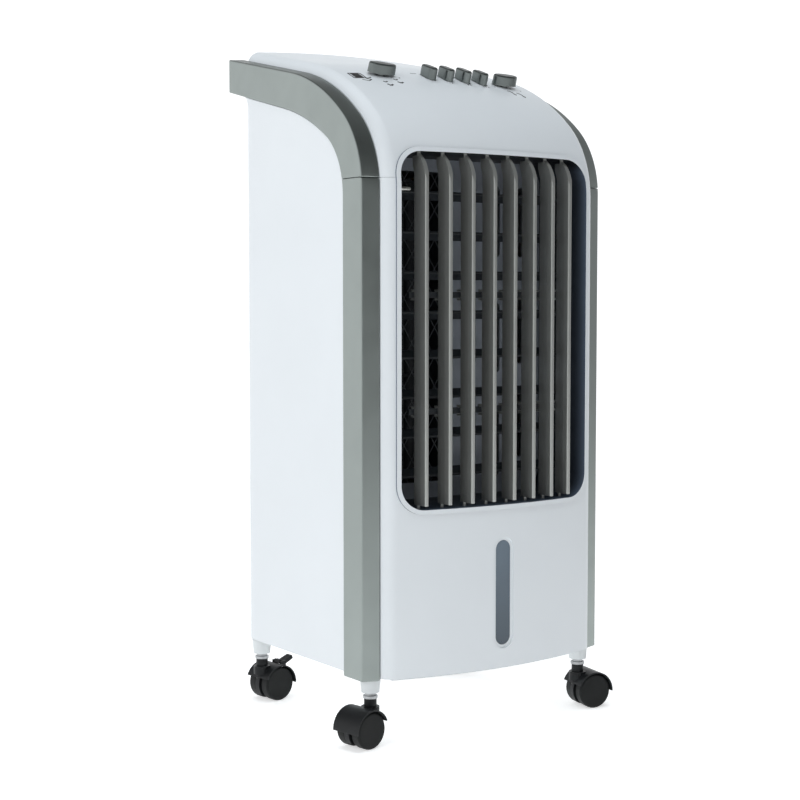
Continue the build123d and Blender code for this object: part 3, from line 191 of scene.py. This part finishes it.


def duct_plastic(name, white, wall_shade):
    """The louvre frame: a white rim facing forward and painted shade on the walls in the duct, lighter
    towards the mouth and darkest under its roof.
    """
    material, tree, shader, place = new_material(name)
    split = tree.nodes.new("ShaderNodeSeparateXYZ")
    tree.links.new(place, split.inputs["Vector"])
    square_x = math_node(tree, "MULTIPLY", split.outputs["X"], split.outputs["X"])
    depth = math_node(tree, "SUBTRACT", split.outputs["Y"], math_node(tree, "MULTIPLY", square_x, FACE_BOW))
    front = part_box("louvre_frame")[0].y
    facing = tree.nodes.new("ShaderNodeSeparateXYZ")
    tree.links.new(tree.nodes.new("ShaderNodeNewGeometry").outputs["Normal"], facing.inputs["Vector"])
    sideways = remap(tree, facing.outputs["Y"], *WHITE_FACING, 0.0, 1.0)
    behind = remap(tree, depth, front + RIM_DEPTH, front + RIM_DEPTH + 2 * MM, 0.0, 1.0)
    inside = math_node(tree, "MAXIMUM", sideways, behind)
    # Painted light and shade: the duct walls are three times lighter at the mouth and darken to the shade
    # colour deeper in.
    depth_shade = remap(tree, depth, front + 1 * MM, front + 14 * MM, 0.0, 1.0)
    painted_wall_shade = blend_colours(tree, depth_shade, tuple(min(1.0, c * 3.0) for c in wall_shade), wall_shade)
    # Painted shadow: surfaces facing down under the duct's roof go nearly black.
    roof_shade = remap(tree, facing.outputs["Z"], *ROOF_FACING, 0.0, 1.0)
    painted_inner_shade = blend_colours(tree, roof_shade, painted_wall_shade, tuple(c * 0.12 for c in wall_shade))
    drift = remap(tree, noise(tree, place, 30.0), 0.3, 0.7, 0.0, 1.0)
    outer = blend_colours(tree, drift, tuple(c * 0.97 for c in white), white)
    tree.links.new(blend_colours(tree, inside, outer, painted_inner_shade), shader.inputs["Base Color"])
    uneven = remap(tree, noise(tree, place, 60.0), 0.3, 0.7, 0.3, 0.42)
    tree.links.new(math_node(tree, "ADD", uneven, math_node(tree, "MULTIPLY", inside, 0.12)),
                   shader.inputs["Roughness"])
    relief(tree, shader, noise(tree, place, GRAIN_SCALE, 2.0), 0.04, 0.2 * MM)
    return material


def clear_plastic(name, colour, roughness, clearness, heights=None):
    """See-through moulded plastic, cloudier in patches, and darker towards the lower of two heights as
    painted shade.
    """
    material, tree, shader, place = new_material(name)
    cloud = remap(tree, noise(tree, place, 55.0), 0.3, 0.7, 0.0, 1.0)
    tint = blend_colours(tree, cloud, tuple(c * 0.9 for c in colour), colour)
    if heights:
        split = tree.nodes.new("ShaderNodeSeparateXYZ")
        tree.links.new(place, split.inputs["Vector"])
        # Painted shade: the colour darkens towards the lower height.
        lower_shade = remap(tree, split.outputs["Z"], heights[0], heights[1], 1.0, 0.0)
        tint = blend_colours(tree, lower_shade, tint, tuple(c * 0.45 for c in colour))
    tree.links.new(tint, shader.inputs["Base Color"])
    shader.inputs["Transmission Weight"].default_value = clearness
    shader.inputs["IOR"].default_value = 1.49
    tree.links.new(remap(tree, cloud, 0.0, 1.0, roughness * 0.8, roughness * 1.2), shader.inputs["Roughness"])
    relief(tree, shader, noise(tree, place, 1500.0, 2.0), 0.03, 0.2 * MM)
    return material


def fibre(name, colour, light, scale):
    """Absorbent paper: mottled colour, fibres and a dry surface."""
    material, tree, shader, place = new_material(name)
    strands = noise(tree, stretch(tree, place, (1.0, 0.35, 1.0)), scale, 8.0, 0.75)
    tree.links.new(blend_colours(tree, remap(tree, strands, 0.35, 0.7, 0.0, 1.0), colour, light),
                   shader.inputs["Base Color"])
    tree.links.new(remap(tree, strands, 0.3, 0.7, 0.8, 0.97), shader.inputs["Roughness"])
    relief(tree, shader, strands, 0.35, 0.4 * MM)
    return material


window_low, window_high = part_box("level_window")

WHITE = (0.74, 0.775, 0.80)
materials = {
    "white_plastic": plastic("white_abs", WHITE, 0.34, grain=0.035, spread=0.012, coat=0.12),
    "base_plastic": plastic("base_pp", (0.70, 0.73, 0.74), 0.45, grain=0.10, spread=0.03),
    "tank_plastic": plastic("tank_pp", (0.72, 0.76, 0.78), 0.38, grain=0.06, spread=0.03),
    "grey_trim": plastic("trim_lacquer", (0.30, 0.333, 0.32), 0.34, grain=0.004, spread=0.03, metallic=0.92,
                         wear=(0.46, 0.48, 0.46)),
    "window_glaze": clear_plastic("window_pc", (0.26, 0.345, 0.43), 0.22, 0.5, (window_low.z, window_high.z)),
    "louvre_silver": plastic("louvre_lacquer", (0.44, 0.45, 0.43), 0.36, grain=0.003, spread=0.04,
                             metallic=0.7),
    "black_plastic": plastic("black_pp", (0.018, 0.022, 0.026), 0.42, grain=0.12, spread=0.15,
                             wear=(0.10, 0.10, 0.10)),
    "mesh_black": plastic("mesh_pp", (0.045, 0.052, 0.058), 0.45, grain=0.10, spread=0.10),
    "fan_plastic": plastic("fan_gf", (0.012, 0.014, 0.017), 0.5, grain=0.15, spread=0.12, specular=0.3),
    "control_grey": plastic("control_abs", (0.19, 0.21, 0.205), 0.34, grain=0.01, spread=0.04,
                            metallic=0.88, wear=(0.36, 0.37, 0.36)),
    "switch_plastic": plastic("switch_pa", (0.03, 0.03, 0.034), 0.5, grain=0.12, spread=0.10),
    "inner_plastic": plastic("inner_pp", (0.42, 0.45, 0.47), 0.5, grain=0.12, spread=0.05),
    "pad_cellulose": fibre("pad_paper", (0.24, 0.15, 0.07), (0.42, 0.29, 0.15), 420.0),
    "filter_nylon": plastic("filter_nylon", (0.03, 0.033, 0.036), 0.6, grain=0.2, spread=0.15),
    "pump_plastic": plastic("pump_abs", (0.025, 0.026, 0.03), 0.45, grain=0.10, spread=0.10),
    "hose_rubber": clear_plastic("hose_silicone", (0.78, 0.81, 0.80), 0.35, 0.6),
    "gland_rubber": plastic("gland_epdm", (0.02, 0.02, 0.02), 0.7, grain=0.25, spread=0.15),
    "zinc_steel": brushed_metal("zinc_plate", (0.60, 0.60, 0.57), 0.35, 2),
    "motor_enamel": plastic("motor_paint", (0.16, 0.165, 0.17), 0.4, grain=0.10, spread=0.06, metallic=0.3),
    "bearing_bronze": brushed_metal("bronze", (0.48, 0.31, 0.16), 0.4, 0),
    "stem_chrome": brushed_metal("chrome_plate", (0.50, 0.51, 0.52), 0.42, 2),
    "castor_black": plastic("castor_pa", (0.010, 0.011, 0.012), 0.40, grain=0.10, spread=0.2,
                            wear=(0.05, 0.05, 0.05), specular=0.22),
    "wheel_black": plastic("wheel_pa", (0.009, 0.010, 0.010), 0.50, grain=0.15, spread=0.25,
                           wear=(0.04, 0.04, 0.04), specular=0.2),
}
own_material = {
    # The dark blue-grey for the duct walls is painted shade on white plastic.
    "louvre_frame": duct_plastic("duct_abs", WHITE, (0.035, 0.045, 0.062)),
    # Painted shade: the casing is white plastic, coloured blue-grey for the shade it sits in.
    "outlet_casing": plastic("casing_abs_painted_shade", (0.30, 0.33, 0.375), 0.4, grain=0.08, spread=0.06),
}
print_ink = plastic("print_ink", (0.02, 0.02, 0.02), 0.5, grain=0.05, spread=0.1)
slot_of = {entry["node"]: entry["material_slot"] for entry in frame["record"]["subparts"]}

# ---------------------------------------------------------------- CAD nodes: rounded edges and finishes
EDGE_DEFAULT = 0.5          # rounding of an edge, in millimetres
EDGES = {
    "trim_left_lower": 1.2, "trim_left_upper": 1.2, "trim_right_lower": 1.2, "trim_right_upper": 1.2,
    "side_panel_left": 0.6, "side_panel_right": 0.6, "louvre_frame": 0.6, "link_bars": 0.4,
    "guard_grille": 0.3, "outlet_casing": 0.3, "outlet_mesh": 0.0, "fan_impeller": 0.0, "pump_hose": 0.0,
    "key_1": 0.3, "key_2": 0.3, "key_3": 0.3, "key_4": 0.3, "shell_screws": 0.2, "castor_stems": 0.3,
}


def finish_node(name, obj):
    """Material, welded corners, rounded edges and smooth shading for one CAD node."""
    material = own_material.get(name, materials[slot_of[name]])
    for place in obj.material_slots:
        place.material = material
    width = EDGES.get(name, EDGE_DEFAULT) * MM
    weld = obj.modifiers.new("weld", "WELD")
    weld.merge_threshold = 0.004 * MM
    if width:
        bevel = obj.modifiers.new("edges", "BEVEL")
        bevel.width = width
        bevel.segments = 3
        bevel.limit_method = "ANGLE"
        bevel.angle_limit = math.radians(32)
        bevel.use_clamp_overlap = True
    tidy = obj.modifiers.new("normals", "WEIGHTED_NORMAL")
    tidy.keep_sharp = True
    tidy.weight = 80


for node_name, node_object in nodes.items():
    finish_node(node_name, node_object)


# ---------------------------------------------------------------- helpers for new pieces
def make_piece(name, vertices, faces, material, body):
    """A mesh object in the row frame that rides on a CAD body."""
    mesh = bpy.data.meshes.new(name)
    mesh.from_pydata(vertices, [], faces)
    mesh.update()
    mesh.materials.append(material)
    piece = bpy.data.objects.new(name, mesh)
    bpy.context.scene.collection.objects.link(piece)
    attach(piece, body)
    return piece


BOX_FACES = ((0, 3, 2, 1), (4, 5, 6, 7), (0, 1, 5, 4), (1, 2, 6, 5), (2, 3, 7, 6), (3, 0, 4, 7))


def add_prism(vertices, faces, corners, offset):
    """Append a four-sided prism: its base corners and the vector to its top."""
    start = len(vertices)
    vertices.extend(corners)
    vertices.extend(corner + offset for corner in corners)
    faces.extend(tuple(start + i for i in face) for face in BOX_FACES)


def smooth(piece):
    """Smooth shading that keeps edges sharper than 40 degrees."""
    for polygon in piece.data.polygons:
        polygon.use_smooth = True
    piece.data.set_sharp_from_angle(angle=math.radians(40.0))


# ---------------------------------------------------------------- fluted pad
def flute(value):
    """Rounded triangle wave of period 1 between -1 and 1."""
    return math.sin(2 * math.pi * value) * 0.85 + math.sin(6 * math.pi * value) * -0.07


def make_pad():
    """Glued sheets of fluted paper, neighbours leaning opposite ways."""
    low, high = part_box("evaporative_pad")
    pitch, wave, paper = 4.4 * MM, 7.0 * MM, 0.35 * MM
    depth_of_wave, leans = 0.42 * pitch, (-0.35, 0.55)
    sheets = int((high.x - low.x) / pitch)
    rows, columns = 176, 6
    vertices, faces = [], []
    for sheet in range(sheets):
        x = low.x + pitch * (sheet + 0.5)
        lean = leans[sheet % 2]
        start = len(vertices)
        for row in range(rows + 1):
            z = low.z + (high.z - low.z) * row / rows
            for column in range(columns + 1):
                y = low.y + (high.y - low.y) * column / columns
                swing = flute((z + lean * (y - low.y)) / wave)
                vertices.append(Vector((x + swing * depth_of_wave, y, z)))
        for row in range(rows):
            for column in range(columns):
                a = start + row * (columns + 1) + column
                faces.append((a, a + 1, a + columns + 2, a + columns + 1))
    pad = make_piece("pad_flutes", vertices, faces, materials["pad_cellulose"], "root")
    thick = pad.modifiers.new("thickness", "SOLIDIFY")
    thick.thickness = paper
    thick.offset = 0.0
    smooth(pad)
    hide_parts("evaporative_pad")


# ---------------------------------------------------------------- filter net
def add_bar(vertices, faces, low, high):
    """Append a straight bar between two opposite corners, drawn out along its longest side."""
    size = high - low
    if size.z >= size.x:
        corners = [(low.x, low.y), (high.x, low.y), (high.x, high.y), (low.x, high.y)]
        add_prism(vertices, faces, [Vector((x, y, low.z)) for x, y in corners], Vector((0, 0, size.z)))
    else:
        corners = [(low.y, low.z), (high.y, low.z), (high.y, high.z), (low.y, high.z)]
        add_prism(vertices, faces, [Vector((low.x, y, z)) for y, z in corners], Vector((size.x, 0, 0)))


def make_net():
    """Moulded net: two layers of crossing strands inside a flat border."""
    low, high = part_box("dust_filter")
    pitch, strand, border, rim = 2.4 * MM, 0.32 * MM, 4.0 * MM, 1.1 * MM
    middle = (low.y + high.y) / 2
    lifted = middle + strand * 1.2
    left, right, bottom, top = low.x + border, high.x - border, low.z + border, high.z - border
    vertices, faces = [], []
    for column in range(int((right - left) / pitch) + 1):
        x = left + pitch * column
        add_bar(vertices, faces, Vector((x - strand, middle - strand, bottom)),
                Vector((x + strand, middle + strand, top)))
    for row in range(int((top - bottom) / pitch) + 1):
        z = bottom + pitch * row
        add_bar(vertices, faces, Vector((left, lifted - strand, z - strand)),
                Vector((right, lifted + strand, z + strand)))
    for x0, x1, z0, z1 in (
        (low.x, high.x, low.z, bottom), (low.x, high.x, top, high.z),
        (low.x, left, bottom, top), (right, high.x, bottom, top),
    ):
        add_bar(vertices, faces, Vector((x0, middle - rim, z0)), Vector((x1, middle + rim, z1)))
    net = make_piece("filter_net", vertices, faces, materials["filter_nylon"], "filter")
    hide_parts("dust_filter")


# ---------------------------------------------------------------- guide pin
def make_pin():
    """A plated pin with a domed end, standing out of the duct's left wall."""
    low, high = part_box("louvre_frame")
    blade_low, blade_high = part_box("louvre_1")
    radius, dome, steps = 1.7 * MM, 0.8 * MM, 24
    wall_thickness, gap_to_blade, height_share = 3.5 * MM, 7.5 * MM, 0.885
    wall = low.x + wall_thickness
    reach = blade_low.x - gap_to_blade - wall
    centre = Vector((wall, (blade_low.y + blade_high.y) / 2, low.z + height_share * (high.z - low.z)))
    sections = [(0.0, radius), (reach - dome, radius)]
    sections += [(reach - dome + dome * math.sin(a), radius - dome + dome * math.cos(a))
                 for a in (math.radians(30), math.radians(60), math.radians(90))]
    vertices, faces = [], []
    for along, width in sections:
        for step in range(steps):
            angle = 2 * math.pi * step / steps
            vertices.append(centre + Vector((along, width * math.cos(angle), width * math.sin(angle))))
    for level in range(len(sections) - 1):
        for step in range(steps):
            after = (step + 1) % steps
            a, b = level * steps, (level + 1) * steps
            faces.append((a + step, a + after, b + after, b + step))
    faces.append(tuple(reversed(range(steps))))
    faces.append(tuple(range((len(sections) - 1) * steps, len(sections) * steps)))
    pin = make_piece("guide_pin", vertices, faces, materials["zinc_steel"], "root")
    smooth(pin)


# ---------------------------------------------------------------- printed marks
def cover_tree():
    """Ray-casting tree of the top cover."""
    mesh = nodes["top_cover"].data
    return BVHTree.FromPolygons([v.co for v in mesh.vertices], [tuple(p.vertices) for p in mesh.polygons])


TREE = cover_tree()
TILT = math.radians(19.0)   # slope of the cover under the controls
DOWN = Vector((0, math.sin(TILT), -math.cos(TILT)))
FORWARD = Vector((0, -math.cos(TILT), -math.sin(TILT)))
RIGHT = Vector((1, 0, 0))
INK_HEIGHT = 0.08 * MM
STROKE_STEP = 1.5           # longest straight piece of a stroke, in millimetres
TICK_RADIUS = 17.5          # distance of a knob's tick marks from its middle, in millimetres


def on_cover(centre, u, v):
    """The point of the cover's skin under a place u to the right of a centre and v to its front."""
    start = centre + RIGHT * u * MM + FORWARD * v * MM - DOWN * 30 * MM
    return TREE.ray_cast(start, DOWN, 80 * MM)[0]


def add_stroke(vertices, faces, centre, points, width):
    """A printed line through flat points (u, v), in millimetres, laid on the cover."""
    for (u0, v0), (u1, v1) in zip(points, points[1:]):
        length = math.hypot(u1 - u0, v1 - v0)
        steps = max(1, int(length / STROKE_STEP))
        side = (-(v1 - v0) / length * width / 2, (u1 - u0) / length * width / 2)
        for step in range(steps):
            a, b = step / steps, (step + 1) / steps
            corners = []
            for share, sign in ((a, 1), (a, -1), (b, -1), (b, 1)):
                u = u0 + (u1 - u0) * share + side[0] * sign
                v = v0 + (v1 - v0) * share + side[1] * sign
                corners.append(on_cover(centre, u, v))
            if None in corners:
                continue
            add_prism(vertices, faces, [c + DOWN * INK_HEIGHT for c in corners], -DOWN * 2 * INK_HEIGHT)


def ring(u, v, radius, steps=14):
    """Points round a circle, the first one again at the end."""
    angles = [2 * math.pi * i / steps for i in range(steps + 1)]
    return [(u + radius * math.cos(a), v + radius * math.sin(a)) for a in angles]


def square(u, v, size):
    """A closed square outline."""
    corners = [(u + a * size / 2, v + b * size / 2) for a, b in ((-1, -1), (1, -1), (1, 1), (-1, 1))]
    return corners + corners[:1]


def knob_marks(vertices, faces, side, centre):
    """Ticks and small symbols round a knob: a filled block with a curl, and pairs of strokes."""
    for turn in (215, 325):
        u, v = TICK_RADIUS * math.cos(math.radians(turn)), -TICK_RADIUS * math.sin(math.radians(turn))
        add_stroke(vertices, faces, centre, ring(u, v, 0.5), 0.6)
    if side == "left":
        for line in range(5):
            add_stroke(vertices, faces, centre, [(-29, 1 + 2.4 * line), (-21, 1 + 2.4 * line)], 2.1)
        add_stroke(vertices, faces, centre, square(-25, 5.8, 11.5), 1.1)
        add_stroke(vertices, faces, centre, [(-25, 15), (-20, 18), (-16, 15), (-20, 13), (-15, 11)], 1.0)
        for u, v in ((-5, 20), (8, 15)):
            add_stroke(vertices, faces, centre, [(u - 2, v - 1.5), (u, v + 0.5), (u + 2, v - 1.5)], 1.4)
            add_stroke(vertices, faces, centre, [(u - 1, v + 4), (u + 1, v + 7), (u + 4, v + 5)], 1.8)
    else:
        for u, v in ((-3, 18), (6, 20)):
            add_stroke(vertices, faces, centre, [(u - 2, v - 2), (u + 1, v), (u + 2, v + 3)], 1.6)
            add_stroke(vertices, faces, centre, [(u + 1, v + 4), (u + 3, v + 6)], 2.2)


def make_marks():
    """Plain pictograms beside the controls: symbols at the knobs, a dash and dots at the keys."""
    vertices, faces = [], []
    for side in ("left", "right"):
        low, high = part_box(f"knob_{side}")
        knob_marks(vertices, faces, side, Vector(((low.x + high.x) / 2, (low.y + high.y) / 2, high.z)))
    for number in range(1, 5):
        low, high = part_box(f"key_{number}")
        centre = Vector(((low.x + high.x) / 2, (low.y + high.y) / 2, high.z))
        if number == 1:
            add_stroke(vertices, faces, centre, [(-13, -5), (-7, -5)], 1.0)
        for dot in range(number - 1):
            add_stroke(vertices, faces, centre, ring((dot - (number - 2) / 2) * 2.6, 15.0, 0.55), 0.5)
    make_piece("printed_marks", vertices, faces, print_ink, "root")


make_pad()
make_net()
make_pin()
make_marks()


# ---------------------------------------------------------------- studio
SKY_TINT = (0.92, 0.965, 1.0)
LIGHTS = (                  # name, place, target, side in metres, power in watts
    ("left", (-2.3, -1.2, 1.7), (0, 0, 0.4), 1.2, 13),
    ("front", (-0.9, -2.8, 1.3), (0, 0, 0.3), 1.4, 6),
    ("top", (0.0, -0.1, 2.7), (0, 0, 0.5), 1.8, 38),
)


def area_light(name, place, target, size, power):
    """A soft square light aimed at a point and unseen in reflections."""
    data = bpy.data.lights.new(name, "AREA")
    data.shape = "SQUARE"
    data.size = size
    data.energy = power
    data.color = SKY_TINT
    light = bpy.data.objects.new(name, data)
    light.visible_glossy = False
    light.location = place
    light.rotation_mode = "QUATERNION"
    light.rotation_quaternion = (Vector(target) - Vector(place)).to_track_quat("-Z", "Y")
    bpy.context.scene.collection.objects.link(light)


FLOOR_GLOW = 0.53           # the floor's own light, so that it is as white as the surroundings


def make_floor():
    """A pale round floor, small enough to leave the dim front of the room in the reflections."""
    steps, rings = 96, (0.6, 1.2, 1.9)
    vertices, faces = [(0, 0, 0)], []
    for distance in rings:
        for step in range(steps):
            angle = 2 * math.pi * step / steps
            vertices.append((distance * math.cos(angle), distance * math.sin(angle), 0))
    for step in range(steps):
        faces.append((0, 1 + step, 1 + (step + 1) % steps))
    for level in range(len(rings) - 1):
        a, b = 1 + level * steps, 1 + (level + 1) * steps
        for step in range(steps):
            after = (step + 1) % steps
            faces.append((a + step, b + step, b + after, a + after))
    mesh = bpy.data.meshes.new("floor")
    mesh.from_pydata(vertices, [], faces)
    paper = plastic("floor_paper", (0.93, 0.93, 0.93), 0.75, grain=0.02, spread=0.004)
    shader = next(node for node in paper.node_tree.nodes if node.type == "BSDF_PRINCIPLED")
    shader.inputs["Emission Color"].default_value = (1.0, 1.0, 1.0, 1.0)
    shader.inputs["Emission Strength"].default_value = FLOOR_GLOW
    mesh.materials.append(paper)
    floor = bpy.data.objects.new("floor", mesh)
    bpy.context.scene.collection.objects.link(floor)


BRIGHT_SIDE = (-0.35, 0.93, 0.0)
DIM, BRIGHT = 0.18, 1.20
TURN = (-0.85, 0.25)        # how far towards the bright side the light starts to grow and is full
OVERHEAD = 0.15             # the light from straight above, as a share of the light from the side
CLIMB = (0.2, 0.7)          # a direction's Z where the light starts to fade and has faded to that share
WORLD_TINT = (0.975, 0.985, 1.0)


def make_world():
    """Soft white surroundings, brightest behind and to the left, dim in front."""
    world = bpy.data.worlds.new("studio")
    world.use_nodes = True
    tree = world.node_tree
    background = tree.nodes["Background"]
    direction = tree.nodes.new("ShaderNodeTexCoord").outputs["Generated"]
    along = tree.nodes.new("ShaderNodeVectorMath")
    along.operation = "DOT_PRODUCT"
    along.inputs[1].default_value = BRIGHT_SIDE
    tree.links.new(direction, along.inputs[0])
    ramp = tree.nodes.new("ShaderNodeMapRange")
    ramp.interpolation_type = "SMOOTHSTEP"
    for socket, number in zip(RANGE_SOCKETS, (*TURN, DIM, BRIGHT)):
        ramp.inputs[socket].default_value = number
    tree.links.new(along.outputs["Value"], ramp.inputs["Value"])
    split = tree.nodes.new("ShaderNodeSeparateXYZ")
    tree.links.new(direction, split.inputs["Vector"])
    height = remap(tree, split.outputs["Z"], *CLIMB, 1.0, OVERHEAD)
    tree.links.new(math_node(tree, "MULTIPLY", ramp.outputs["Result"], height), background.inputs["Strength"])
    background.inputs["Color"].default_value = (*WORLD_TINT, 1.0)
    bpy.context.scene.world = world


def make_camera():
    """The photograph's point of view: low, from the front left."""
    data = bpy.data.cameras.new("camera")
    data.lens = 73.7
    data.sensor_width = 36.0
    camera = bpy.data.objects.new("camera", data)
    camera.location = (-0.825, -1.173, 0.362)
    camera.rotation_euler = (math.radians(90 - 3.67), 0.0, math.radians(-34.4))
    bpy.context.scene.collection.objects.link(camera)
    bpy.context.scene.camera = camera


make_floor()
make_world()
make_camera()
for light_values in LIGHTS:
    area_light(*light_values)
bpy.context.scene.view_settings.view_transform = "Standard"
